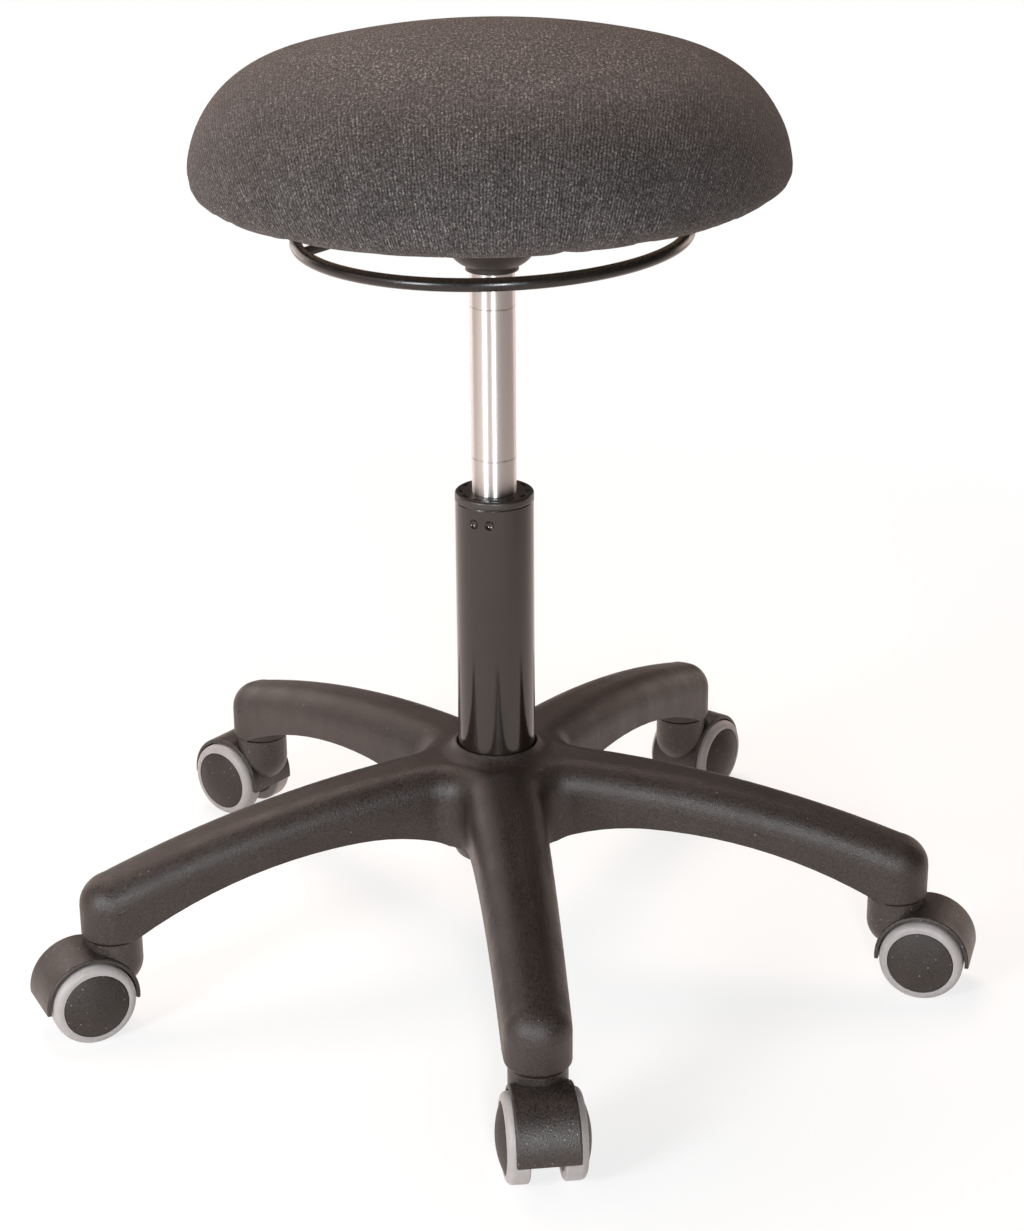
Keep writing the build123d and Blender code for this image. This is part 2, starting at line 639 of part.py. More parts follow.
def crest_height(along):
    """Height of the arm's top line at a distance along the arm."""
    turn = radians(CREST_BEND_TURN)
    bend_end = CREST_START + CREST_BEND * sin(turn)
    if along <= CREST_START:
        return HUB_TOP
    if along <= bend_end:
        return HUB_TOP - CREST_BEND + sqrt(CREST_BEND ** 2 - (along - CREST_START) ** 2)
    slope = asin((along - bend_end) / CREST_SWEEP + sin(turn))
    return HUB_TOP - CREST_BEND * (1 - cos(turn)) - CREST_SWEEP * (cos(turn) - cos(slope))


def top_edge(edge):
    """Whether an edge of the bare star runs along the rim of its top face."""
    middle = edge @ 0.5
    radius = hypot(middle.X, middle.Y)
    step = 360 / ARM_COUNT
    bearing = degrees(atan2(middle.Y, middle.X)) - arm_angle(0)
    offset = radians(bearing - step * round(bearing / step))
    along = radius * cos(offset)
    across = abs(radius * sin(offset))
    beside_crest = across > ARM_TIP_RADIUS / 4 or along > PIVOT_RADIUS
    return beside_crest and middle.Z > crest_height(along) - OVERCUT


def tip_edge(edge):
    """Whether an edge of the bare star runs round the foot of an arm's tip."""
    middle = edge @ 0.5
    return abs(middle.Z - TIP_BOTTOM) < SOFT_GAP and hypot(middle.X, middle.Y) > PIVOT_RADIUS


def hub_collar():
    """Flared lip of the hub round the column."""
    lip = COLUMN_RADIUS + HUB_MOUTH + COLLAR_LAND
    foot = lip + COLLAR_REACH
    top = HUB_TOP + COLLAR_RISE
    bottom = HUB_TOP - COLLAR_SINK
    rise = top - bottom
    flare = (COLLAR_REACH ** 2 + rise ** 2) / (2 * rise)
    half = asin(COLLAR_REACH / flare) / 2
    middle = (foot - flare * sin(half), bottom + flare - flare * cos(half))
    base = HUB_TOP - COLLAR_RISE
    return turned(
        Line((0, base), (foot, base)),
        Line((foot, base), (foot, bottom)),
        ThreePointArc((foot, bottom), middle, (lip, top)),
        Line((lip, top), (0, top)),
        Line((0, top), (0, base)),
    )


def insert_ring(bottom):
    """The steel ring in the hub's underside, from a height up to its top."""
    inner = column_radius(HUB_BOTTOM) + RING_INSERT_COVER
    return pipe(inner + RING_INSERT_WALL, inner, bottom, HUB_BOTTOM + RING_INSERT_HEIGHT)


def star_base():
    arm = arm_side(0, 0, PIVOT_RADIUS + 2 * ARM_TIP_RADIUS)
    heights = arm
    for index in range(1, ARM_COUNT):
        heights += spun(arm, index * 360 / ARM_COUNT)
    star = spun(heights & extrude(star_plan(), 2 * HUB_TOP), arm_angle(0))
    star = fillet([edge for edge in star.edges() if top_edge(edge)], ARM_EDGE_ROUND)
    star = fillet([edge for edge in star.edges() if tip_edge(edge)], TIP_EDGE_ROUND)
    star += hub_collar()
    boss = column_radius(HUB_BOTTOM) + RING_INSERT_COVER + RING_INSERT_WALL + HUB_BOSS_WALL
    boss_shoulder = HUB_BOTTOM + 2 * HUB_BOSS_TAPER
    star += turned_outline([
        (0, HUB_BOTTOM),
        (boss - HUB_BOSS_TAPER, HUB_BOTTOM),
        (boss, boss_shoulder),
        (boss, HUB_TOP - ARM_EDGE_ROUND),
        (0, HUB_TOP - ARM_EDGE_ROUND),
    ])
    for index in range(ARM_COUNT):
        angle = arm_angle(index)
        star -= spun(arm_pocket(), angle)
        star += spun(Pos(PIVOT_RADIUS, 0, 0) * tip_boss(), angle)
        hole = upright(STEM_RADIUS, TIP_BOTTOM - OVERCUT, TIP_BOTTOM + STEM_IN_BASE)
        star -= spun(Pos(PIVOT_RADIUS, 0, 0) * hole, angle)
    bore_bottom = HUB_BOTTOM - OVERCUT
    mouth = COLUMN_RADIUS + HUB_MOUTH
    star -= turned_outline([
        (0, bore_bottom),
        (column_radius(bore_bottom), bore_bottom),
        (column_radius(HUB_TOP - HUB_MOUTH), HUB_TOP - HUB_MOUTH),
        (mouth, HUB_TOP),
        (mouth, HUB_TOP + COLLAR_RISE + OVERCUT),
        (0, HUB_TOP + COLLAR_RISE + OVERCUT),
    ])
    return star - insert_ring(HUB_BOTTOM - OVERCUT)


def hub_ring():
    return insert_ring(HUB_BOTTOM)


# Casters, drawn with the pivot on Z and the trail along +X

def at_arm(shape, index):
    """A shape drawn about a pivot, moved to the tip of an arm."""
    return spun(Pos(PIVOT_RADIUS, 0, 0) * shape, arm_angle(index))


def at_caster(shape, index):
    """A shape drawn with its trail along +X, moved to the tip of an arm and turned as it stands."""
    angle = radians(arm_angle(index))
    place = Pos(PIVOT_RADIUS * cos(angle), PIVOT_RADIUS * sin(angle), 0)
    return place * spun(shape, CASTER_ANGLES[index] - 90)


def on_axle(shape):
    """A shape drawn about Z, laid along the axle with its +Z end to the left of the trail."""
    return Pos(CASTER_TRAIL, 0, WHEEL_RADIUS) * Rot(-90, 0, 0) * shape


def mirrored(shape):
    """The same shape on the other side of the caster."""
    return mirror(shape, Plane.XZ)


def caster_stem():
    stem = upright(STEM_RADIUS, NECK_TOP - STEM_IN_NECK, TIP_BOTTOM + STEM_IN_BASE)
    stem += upright(STEM_FLANGE_RADIUS, TIP_BOTTOM - STEM_FLANGE_THICK, TIP_BOTTOM)
    grip_top = TIP_BOTTOM + STEM_IN_BASE - GRIP_DROP
    return stem - pipe(2 * STEM_RADIUS, STEM_RADIUS - GRIP_DEPTH, grip_top - GRIP_HEIGHT, grip_top)


def stem_grip_ring():
    grip_top = TIP_BOTTOM + STEM_IN_BASE - GRIP_DROP
    ring = pipe(STEM_RADIUS, STEM_RADIUS - GRIP_DEPTH, grip_top - GRIP_HEIGHT, grip_top)
    slit = Box(2 * STEM_RADIUS, GRIP_SLIT, 2 * GRIP_HEIGHT, align=(Align.MIN, Align.CENTER, Align.CENTER))
    return ring - Pos(0, 0, grip_top - GRIP_HEIGHT / 2) * slit


def hood_sector():
    """Everything above the hood's lower edges, as a prism along the axle."""
    reach = 4 * HOOD_RADIUS
    front = radians(HOOD_FRONT_ANGLE)
    rear = radians(HOOD_REAR_ANGLE)
    corners = [
        (0, 0),
        (reach * cos(rear), reach * sin(rear)),
        (reach, reach),
        (-reach, reach),
        (reach * cos(front), reach * sin(front)),
    ]
    face = Plane.XZ * make_face(Polyline(*corners, close=True))
    return Pos(CASTER_TRAIL, 0, WHEEL_RADIUS) * extrude(face, HOOD_WIDTH, both=True)


def caster_hood():
    drum = Cylinder(HOOD_RADIUS, HOOD_WIDTH)
    drum = fillet(drum.edges().filter_by(GeomType.CIRCLE), HOOD_EDGE_ROUND)
    fender = on_axle(drum) & hood_sector()
    neck = upright(NECK_RADIUS, NECK_TOP - NECK_STRAIGHT, NECK_TOP)
    neck += Pos(0, 0, NECK_TOP - NECK_STRAIGHT) * Sphere(NECK_RADIUS)
    hood = fender + neck
    room = Cylinder(HOOD_BORE, 2 * HOOD_WIDTH, align=(Align.CENTER, Align.CENTER, Align.MIN))
    wheel_room = on_axle(Pos(0, 0, WEB_WIDTH / 2) * room)
    hood -= wheel_room
    hood -= mirrored(wheel_room)
    hood += on_axle(Cylinder(WEB_BOSS_RADIUS, WEB_WIDTH))
    hood -= on_axle(Cylinder(AXLE_RADIUS, 2 * HOOD_WIDTH))
    return hood - upright(STEM_RADIUS + RUN_CLEARANCE, NECK_TOP - STEM_IN_NECK - OVERCUT, NECK_TOP + OVERCUT)


def caster_axle():
    return on_axle(Cylinder(AXLE_RADIUS, WHEEL_GAP + 2 * AXLE_DEPTH))


def wheel_core():
    """Wheel centre and its domed cap, drawn outwards along +Z from the middle of the caster."""
    inner = WHEEL_GAP / 2
    face = inner + TREAD_WIDTH
    bore = AXLE_RADIUS + RUN_CLEARANCE
    well = inner + AXLE_DEPTH + CAP_RIM
    shoulder = RIM_RADIUS - CAP_RIM
    crown = (shoulder ** 2 + CAP_BULGE ** 2) / (2 * CAP_BULGE)
    half = asin(shoulder / crown) / 2
    bulge_middle = (crown * sin(half), face + CAP_BULGE - crown + crown * cos(half))
    return turned(
        Line((bore, inner), (RIM_RADIUS, inner)),
        Line((RIM_RADIUS, inner), (RIM_RADIUS, face - CAP_RIM)),
        Line((RIM_RADIUS, face - CAP_RIM), (shoulder, face)),
        ThreePointArc((shoulder, face), bulge_middle, (0, face + CAP_BULGE)),
        Line((0, face + CAP_BULGE), (0, well)),
        Line((0, well), (bore, well)),
        Line((bore, well), (bore, inner)),
    )


def wheel_tread():
    """Soft tyre round the wheel centre, rounder on its outer shoulder."""
    inner = WHEEL_GAP / 2
    ring = pipe(WHEEL_RADIUS, RIM_RADIUS, inner, inner + TREAD_WIDTH)
    rims = ring.edges().filter_by(GeomType.CIRCLE).group_by(SortBy.RADIUS)[-1].sort_by(Axis.Z)
    ring = fillet(rims[-1], TREAD_ROUND)
    rims = ring.edges().filter_by(GeomType.CIRCLE).sort_by(Axis.Z)
    low = max(rims[:2], key=lambda edge: edge.radius)
    return fillet(low, TREAD_INNER_ROUND)


def stool():
    nodes = {
        "seat_cover": seat_cover(),
        "seat_foam": seat_foam(),
        "seat_board": seat_board(),
        "tee_nuts": [Pos(x, y) * tee_nut() for x, y in bolt_places()],
        "seat_bolts": [Pos(x, y) * seat_bolt() for x, y in bolt_places()],
        "seat_bolt_washers": [Pos(x, y) * bolt_washer() for x, y in bolt_places()],
        "mounting_plate": mounting_plate(),
        "seat_hub": seat_hub(),
        "release_ring": release_ring(),
        "ring_spokes": ring_spokes(),
        "press_hub": press_hub(),
        "release_button": release_button(),
        "pressure_tube": pressure_tube(),
        "valve_body": valve_body(),
        "rod_guide": rod_guide(),
        "rod_seal": rod_seal(),
        "column_tube": column_tube(),
        "guide_bush": guide_bush(),
        "piston_rod": piston_rod(),
        "piston": piston(),
        "piston_ring": piston_ring(),
        "bump_stop": bump_stop(),
        "bearing_race_lower": bearing_race_lower(),
        "bearing_balls": bearing_balls(),
        "bearing_race_upper": bearing_race_upper(),
        "retaining_clip": retaining_clip(),
        "star_base": star_base(),
        "hub_ring": hub_ring(),
        "caster_stems": [at_arm(caster_stem(), index) for index in range(ARM_COUNT)],
        "stem_grip_rings": [at_arm(stem_grip_ring(), index) for index in range(ARM_COUNT)],
    }
    left_core = on_axle(wheel_core())
    left_tread = on_axle(wheel_tread())
    pieces = {
        "hood": caster_hood(),
        "axle": caster_axle(),
        "left_wheel": left_core,
        "left_tread": left_tread,
        "right_wheel": mirrored(left_core),
        "right_tread": mirrored(left_tread),
    }
    for index in range(ARM_COUNT):
        for name, piece in pieces.items():
            nodes[f"caster_{index + 1}_{name}"] = at_caster(piece, index)
    return nodes


os.makedirs("parts", exist_ok=True)
for node, shape in stool().items():
    solid = Compound(shape) if isinstance(shape, list) else shape
    export_step(solid, f"parts/{node}.step")
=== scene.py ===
import math
import random

import bpy
import numpy as np
from mathutils import Matrix, Vector


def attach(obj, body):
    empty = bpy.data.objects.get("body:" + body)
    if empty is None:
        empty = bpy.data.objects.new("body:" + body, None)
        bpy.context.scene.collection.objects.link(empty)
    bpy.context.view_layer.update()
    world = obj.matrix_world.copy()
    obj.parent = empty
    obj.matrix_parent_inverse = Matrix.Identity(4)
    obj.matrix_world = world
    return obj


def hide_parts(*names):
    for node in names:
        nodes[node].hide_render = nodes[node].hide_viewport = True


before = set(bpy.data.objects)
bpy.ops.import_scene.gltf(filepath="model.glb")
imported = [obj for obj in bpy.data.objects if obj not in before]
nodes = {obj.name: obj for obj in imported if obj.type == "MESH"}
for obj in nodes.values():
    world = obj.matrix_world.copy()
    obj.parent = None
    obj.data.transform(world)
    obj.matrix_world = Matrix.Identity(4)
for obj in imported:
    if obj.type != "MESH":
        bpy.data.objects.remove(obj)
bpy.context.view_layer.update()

# Sizes in metres, in the frame of the solids: +Z up, -Y to the front, origin on the floor below the column.

# Seat form
SEAT_UNDERSIDE = 0.5126
SEAT_RADIUS = 0.1806
SEAT_EDGE_ROUND = 0.011
SEAT_SHOULDER = 0.068
SEAT_CROWN_RISE = 0.083
SEAT_SHIFT = -0.0010
SEAT_LEAN = math.radians(0.25)
TURN_UNDER = 0.036
FABRIC_FOLD = 0.0010
BOARD_POCKET_RADIUS = 0.1656
BOARD_POCKET_TOP = 0.5268

# Right side of the cover's lower edge, which is drawn up
EDGE_PULL = 0.0048
EDGE_PULL_ANGLE = math.radians(-18.0)
EDGE_PULL_START = 0.163
EDGE_PULL_SPAN = 0.012
EDGE_PULL_HEIGHT = 0.045
EDGE_PULL_POWER = 1.5

# Cover mesh: each ring of points has one more point in every sector than the ring inside it
SECTORS = 6
COVER_RINGS = 60
RIM_COUNT = SECTORS * COVER_RINGS

# Staples, and how far each strays from its even step, its circle and its tangent
STAPLE_COUNT = 38
STAPLE_RADIUS = 0.150
STAPLE_GRIP = 0.006
STAPLE_SPAN = 0.010
STAPLE_WIDTH = 0.0012
STAPLE_THICK = 0.0005
STAPLE_FLAT_SHARE = 0.86
STAPLE_EDGE_SHARE = 0.2
STAPLE_SEED = 7
STAPLE_STEP_STRAY = 0.22
STAPLE_RADIUS_STRAY = 0.003
STAPLE_TURN_STRAY = 0.3

# Cloth run
CLOTH_FRAMES = 20
CLOTH_PRESSURE = 4.0
CLOTH_CAP = 0.006
CLOTH_QUALITY = 6
CLOTH_MASS = 0.25
CLOTH_STRETCH = 30.0
CLOTH_SHEAR = 12.0
CLOTH_BEND = 0.8
CLOTH_UNDER_BAND = 0.2 * SEAT_EDGE_ROUND
SMALLEST = 1e-9

# Fabric: sizes of its yarns, then counts per metre across and along the rows
RIB_PITCH = 0.0021
RIB_FADE_START = 0.100
RIB_FADE_END = 0.170
FLOAT_SIZE = 0.0008
ROW_SWAY = 0.0034
ROW_SWAY_SCALE = 60.0
YARN_DEPTH = 0.00035
FIBRES = (2600.0, 2000.0, 1.0)
SLUBS = (900.0, 40.0, 1.0)
SPECKLES = (760.0, 480.0, 1.0)
CROWN_SPECKLES = (620.0, 230.0, 1.0)

# Fabric: what each pattern adds to a yarn's tone, how the rows show (painted shade in their grooves, and
# their ridges), and colours from dark to light
SHADE_SHARE = 0.38
FIBRE_SHARE = 0.30
SPECKLE_SHARE = 0.32
CROWN_SPECKLE_SHARE = 0.62
SLUB_SHARE = 0.24
GROOVE_SHADE_CROWN = 0.82
GROOVE_SHADE_FLANK = 0.56
RIDGE_CROWN = 0.35
YARN_TONES = [
    (0.24, (0.016, 0.0132, 0.0126)),
    (0.48, (0.048, 0.0415, 0.0400)),
    (0.68, (0.110, 0.0985, 0.0960)),
    (0.95, (0.330, 0.3080, 0.3020)),
]
PILE_TINT = (1.0, 0.82, 0.74)

# Nylon
NYLON_GRAIN_SCALE = 850.0
NYLON_GRAIN_DEPTH = 0.00030
NYLON_ROUGH_SWING = 0.14
DUST_SCALE = 420.0
DUST_COVER = 0.5
DUST_TONE = (0.40, 0.37, 0.35)

# Paint
PEEL_DEPTH = 0.00005
SCUFF_ROUGH = 0.12

# Marks on the lift, as heights and widths
SCRIBE_HEIGHTS = (0.4388, 0.3418)
SCRIBE_CORE = 0.00025
SCRIBE_EDGE = 0.00075
SCRIBE_WOBBLE = 0.0025
SCRIBE_TONE = (0.12, 0.10, 0.09)
CAP_JOINT_HEIGHT = 0.3138
CAP_JOINT_HALF = 0.0009
CAP_JOINT_DEPTH = 0.0004

# Steel
RING_DEPTH = 0.00002
SMUDGE_DIM = 0.90
ALONG_AXIS = 0.25

# Treads
TREAD_DARK = (0.235, 0.220, 0.217)
TREAD_LIGHT = (0.285, 0.270, 0.267)
TREAD_SCUFF = (0.24, 0.21, 0.20)

# Camera
CAMERA_TARGET = Vector((0.0105, 0.0, 0.2337))
CAMERA_DISTANCE = 1.757
CAMERA_ELEVATION = math.radians(22.08)
CAMERA_ROLL = math.radians(-0.44)
CAMERA_LENS = 80.3
CAMERA_SENSOR = 36.0
CAMERA_NEAR = 0.05
CAMERA_FAR = 100.0

# Room and floor
WHITE = (1.0, 1.0, 1.0)
ROOM_TINT = (1.0, 0.84, 0.77)
ROOM_LEFT = 0.26
ROOM_RIGHT = 0.06
FLOOR_REACH = 12.0
FLOOR_LIT = (0.93, 0.92, 0.91)
FLOOR_UNLIT = (0.36, 0.33, 0.31)
FLOOR_SHADE_START = 0.30
FLOOR_SHADE_END = 1.20
FLOOR_GLOW = 1.55
FLOOR_GLOW_LEFT = 0.70
FLOOR_GLOW_RIGHT = 0.35
SHADOW_NEAR = 0.45
SHADOW_FAR = 1.10
SHADOW_WHITE = 0.74

# Lamps
LAMP_AIM = (0.0, 0.0, 0.3)
WARM = (1.0, 0.86, 0.79)
AMBER = (1.0, 0.79, 0.68)
COOL = (0.93, 0.97, 1.0)

# Span that most of a noise's values lie in
NOISE_SPREAD = (0.3, 0.7)


# Shader graphs

class Nodes:
    """A node tree that starts empty. Nodes are added and joined by name."""

    def __init__(self, tree):
        self.tree = tree
        self.tree.nodes.clear()

    def add(self, kind, settings=None, inputs=None):
        """Adds a node, sets its properties, and fills its inputs with values or other nodes' outputs."""
        node = self.tree.nodes.new(kind)
        for key, value in (settings or {}).items():
            setattr(node, key, value)
        for key, value in (inputs or {}).items():
            self.fill(node.inputs[key], value)
        return node

    def fill(self, socket, value):
        """Joins an output to the socket or sets its value. A colour is given as three numbers."""
        if isinstance(value, bpy.types.NodeSocket):
            self.tree.links.new(value, socket)
        elif socket.type == "RGBA":
            socket.default_value = (*value, 1.0)
        else:
            socket.default_value = value

    def math(self, operation, first, second=0.0):
        return self.add("ShaderNodeMath", {"operation": operation}, {0: first, 1: second}).outputs[0]

    def times(self, first, second):
        return self.math("MULTIPLY", first, second)

    def sum(self, first, *others):
        for other in others:
            first = self.math("ADD", first, other)
        return first

    def vector_math(self, operation, first, second):
        node = self.add("ShaderNodeVectorMath", {"operation": operation}, {0: first, 1: second})
        return node.outputs["Vector"]

    def part(self, vector, axis):
        return self.add("ShaderNodeSeparateXYZ", None, {"Vector": vector}).outputs[axis]

    def red(self, colour):
        return self.add("ShaderNodeSeparateColor", None, {"Color": colour}).outputs[0]

    def shaded(self, colour, level):
        """The colour made darker or lighter by a factor."""
        node = self.add("ShaderNodeVectorMath", {"operation": "SCALE"}, {0: colour, "Scale": level})
        return node.outputs["Vector"]

    def noise(self, vector, scale, detail, roughness):
        values = {"Vector": vector, "Scale": scale, "Detail": detail, "Roughness": roughness}
        return self.add("ShaderNodeTexNoise", None, values).outputs["Fac"]

    def streaks(self, vector, scales, detail, roughness):
        """Noise with its own scale along each axis."""
        return self.noise(self.vector_math("MULTIPLY", vector, scales), 1.0, detail, roughness)

    def cells(self, vector, scale):
        node = self.add("ShaderNodeTexVoronoi", {"feature": "F1"}, {"Vector": vector, "Scale": scale})
        return node.outputs["Distance"], node.outputs["Color"]

    def span(self, value, low, high, out_low=0.0, out_high=1.0):
        """The value mapped from one span to another, clamped."""
        values = {"Value": value, "From Min": low, "From Max": high, "To Min": out_low, "To Max": out_high}
        return self.add("ShaderNodeMapRange", {"clamp": True}, values).outputs["Result"]

    def ramp(self, value, stops):
        node = self.add("ShaderNodeValToRGB", None, {"Fac": value})
        elements = node.color_ramp.elements
        while len(elements) < len(stops):
            elements.new(0.5)
        for element, (position, colour) in zip(elements, stops):
            element.position = position
            element.color = (*colour, 1.0)
        return node.outputs["Color"]

    def mix(self, share, first, second):
        node = self.add("ShaderNodeMix", {"data_type": "RGBA"}, {"Factor": share, 6: first, 7: second})
        return node.outputs[2]

    def blend(self, share, first, second):
        return self.add("ShaderNodeMixShader", None, {0: share, 1: first, 2: second}).outputs["Shader"]

    def bump(self, height, distance, strength, after=None):
        """The normal bent by a height, after any other bending."""
        values = {"Height": height, "Distance": distance, "Strength": strength}
        if after is not None:
            values["Normal"] = after
        return self.add("ShaderNodeBump", None, values).outputs["Normal"]


class Graph(Nodes):
    """A material with one main shader."""

    def __init__(self, name):
        self.material = bpy.data.materials.new(name)
        self.material.use_nodes = True
        super().__init__(self.material.node_tree)
        self.output = self.add("ShaderNodeOutputMaterial")
        self.shader = self.add("ShaderNodeBsdfPrincipled")
        self.tree.links.new(self.shader.outputs["BSDF"], self.output.inputs["Surface"])

    def place(self):
        """The point on the surface, in the frame at rest."""
        return self.add("ShaderNodeTexCoord").outputs["Object"]

    def set(self, **values):
        """Fills the shader's inputs; underscores stand for spaces."""
        for key, value in values.items():
            self.fill(self.shader.inputs[key.replace("_", " ")], value)


def fabric():
    """Charcoal melange cloth: short floats, each with its own shade, in rows that show on the flanks.
    Painted shade darkens the grooves between rows and the gaps between floats.
    """
    g = Graph("fabric_melange")
    weave = g.add("ShaderNodeAttribute", {"attribute_name": "weave"}).outputs["Vector"]
    noise = g.add("ShaderNodeTexNoise", None, {"Vector": weave, "Scale": ROW_SWAY_SCALE, "Detail": 2.0})
    drift = g.vector_math("SUBTRACT", noise.outputs["Color"], (0.5, 0.5, 0.5))
    laid = g.vector_math("ADD", weave, g.vector_math("MULTIPLY", drift, (ROW_SWAY, ROW_SWAY, 0.0)))
    flank = g.span(g.part(laid, "Z"), RIB_FADE_START, RIB_FADE_END)
    turns = g.times(g.part(laid, "X"), 2.0 * math.pi / RIB_PITCH)
    row = g.span(g.math("SINE", turns), -1.0, 1.0)
    flat = g.vector_math("MULTIPLY", laid, (1.0, 1.0, 0.0))
    distance, float_colour = g.cells(flat, 1.0 / FLOAT_SIZE)
    fibre = g.streaks(weave, FIBRES, 2.0, 0.7)
    slub = g.streaks(weave, SLUBS, 2.0, 0.6)
    speckle = g.span(g.streaks(weave, SPECKLES, 2.0, 0.7), *NOISE_SPREAD)
    crown_speckle = g.span(g.streaks(weave, CROWN_SPECKLES, 2.0, 0.7), *NOISE_SPREAD, -0.5, 0.5)
    tone = g.sum(
        g.times(g.red(float_colour), SHADE_SHARE),
        g.times(fibre, FIBRE_SHARE),
        g.times(speckle, SPECKLE_SHARE),
        g.times(crown_speckle, g.span(flank, 0.0, 1.0, CROWN_SPECKLE_SHARE, 0.0)),
        g.span(slub, 0.58, 0.78, 0.0, SLUB_SHARE),
    )
    # Painted shade: the base colour is darkened in the grooves between rows, more on the flanks than on the
    # crown, and in the gaps between floats
    groove_shade = g.span(row, 0.0, 0.8, g.span(flank, 0.0, 1.0, GROOVE_SHADE_CROWN, GROOVE_SHADE_FLANK), 1.0)
    hollow_shade = g.times(groove_shade, g.span(distance, 0.2, 0.75, 1.0, 0.66))
    cloud = g.noise(weave, 24.0, 3.0, 0.55)
    # The painted groove and gap shade, times a cloudy tone that varies at random
    level = g.times(hollow_shade, g.span(cloud, 0.32, 0.68, 0.88, 1.12))
    ridge = g.times(row, g.span(flank, 0.0, 1.0, RIDGE_CROWN, 1.0))
    height = g.math("SUBTRACT", g.sum(ridge, g.times(fibre, 0.8)), distance)
    g.set(
        Base_Color=g.shaded(g.ramp(tone, YARN_TONES), level),
        Roughness=g.span(fibre, *NOISE_SPREAD, 0.82, 0.96),
        Normal=g.bump(height, YARN_DEPTH, 0.8),
        Sheen_Weight=0.07,
        Sheen_Roughness=0.45,
        Sheen_Tint=PILE_TINT,
        Specular_IOR_Level=0.25,
    )
    return g.material


def nylon(name, dark, light, rough, grain, dust, gloss):
    """Moulded black nylon with an eroded grain, cloudy tone, and specks of dust."""
    g = Graph(name)
    place = g.place()
    cloud = g.noise(place, 26.0, 4.0, 0.6)
    fine = g.noise(place, NYLON_GRAIN_SCALE, 2.0, 0.7)
    pitted = g.span(fine, 0.32, 0.68, 1.0 - 0.7 * grain, 1.0 + 0.9 * grain)
    colour = g.shaded(g.mix(g.span(cloud, *NOISE_SPREAD), dark, light), pitted)
    distance, speck_colour = g.cells(place, DUST_SCALE)
    chosen = g.span(g.red(speck_colour), 1.0 - dust, 1.0)
    speck = g.times(g.span(distance, 0.10, 0.24, 1.0, 0.0), chosen)
    smear = g.streaks(place, (60.0, 60.0, 18.0), 3.0, 0.6)
    wear = g.sum(fine, g.times(smear, 0.5))
    g.set(
        Base_Color=g.mix(g.times(speck, DUST_COVER), colour, DUST_TONE),
        Roughness=g.span(wear, 0.50, 1.00, rough - NYLON_ROUGH_SWING, rough + NYLON_ROUGH_SWING),
        Normal=g.bump(fine, NYLON_GRAIN_DEPTH, grain),
        Specular_IOR_Level=gloss,
    )
    return g.material


def lacquer(name, dark, light, rough, peel, gloss=0.5, joint=None):
    """Black paint with a faint orange peel and rubbed patches. A joint at one height has eased edges."""
    g = Graph(name)
    place = g.place()
    cloud = g.noise(place, 34.0, 4.0, 0.6)
    ripple = g.noise(place, 620.0, 1.0, 0.4)
    scuff = g.streaks(place, (240.0, 240.0, 40.0), 4.0, 0.7)
    normal = g.bump(ripple, PEEL_DEPTH, peel)
    if joint is not None:
        away = g.math("ABSOLUTE", g.math("SUBTRACT", g.part(place, "Z"), joint))
        normal = g.bump(g.span(away, 0.0, CAP_JOINT_HALF), CAP_JOINT_DEPTH, 1.0, normal)
    g.set(
        Base_Color=g.mix(g.span(cloud, *NOISE_SPREAD), dark, light),
        Roughness=g.span(scuff, 0.35, 0.75, rough, rough + SCUFF_ROUGH),
        Normal=normal,
        Specular_IOR_Level=gloss,
    )
    return g.material


def scribed(g, place, colour, heights):
    """The colour with thin, broken lines round the axis at some heights."""
    wobble = g.times(g.math("SUBTRACT", g.noise(place, 60.0, 2.0, 0.5), 0.5), SCRIBE_WOBBLE)
    level = g.sum(g.part(place, "Z"), wobble)
    broken = g.span(g.noise(place, 140.0, 2.0, 0.6), 0.36, 0.60, 0.18, 0.62)
    for height in heights:
        offset = g.math("ABSOLUTE", g.math("SUBTRACT", level, height))
        line = g.times(g.span(offset, SCRIBE_CORE, SCRIBE_EDGE, 1.0, 0.0), broken)
        colour = g.mix(line, colour, SCRIBE_TONE)
    return colour


def ground_steel(name, base, rough, lines, scribes=(), stretch=0.0):
    """Ground steel: fine rings that draw reflections out along the axis, smudges and thin scribed lines."""
    g = Graph(name)
    place = g.place()
    rings = g.streaks(place, (6.0, 6.0, lines), 3.0, 0.6)
    smudge = g.streaks(place, (45.0, 45.0, 14.0), 4.0, 0.6)
    smudged = tuple(SMUDGE_DIM * value for value in base)
    colour = g.mix(g.span(smudge, 0.35, 0.7), smudged, base)
    if scribes:
        colour = scribed(g, place, colour, scribes)
    wear = g.sum(g.times(rings, 0.5), smudge)
    g.set(
        Base_Color=colour,
        Metallic=1.0,
        Roughness=g.span(wear, 0.4, 1.1, rough - 0.05, rough + 0.08),
        Normal=g.bump(rings, RING_DEPTH, 0.35),
        Anisotropic=stretch,
        Anisotropic_Rotation=ALONG_AXIS,
    )
    return g.material


def tread():
    """Soft grey wheel tread with faint mottling and a scuffed running face."""
    g = Graph("tread_grey")
    place = g.place()
    cloud = g.noise(place, 70.0, 4.0, 0.6)
    fine = g.noise(place, 1800.0, 2.0, 0.6)
    scuff = g.noise(place, 320.0, 4.0, 0.75)
    colour = g.mix(g.span(cloud, *NOISE_SPREAD), TREAD_DARK, TREAD_LIGHT)
    g.set(
        Base_Color=g.mix(g.span(scuff, 0.62, 0.80, 0.0, 0.35), colour, TREAD_SCUFF),
        Roughness=g.span(scuff, *NOISE_SPREAD, 0.38, 0.55),
        Normal=g.bump(fine, 0.00004, 0.5),
        Subsurface_Weight=0.05,
        Subsurface_Scale=0.002,
        Specular_IOR_Level=0.5,
    )
    return g.material


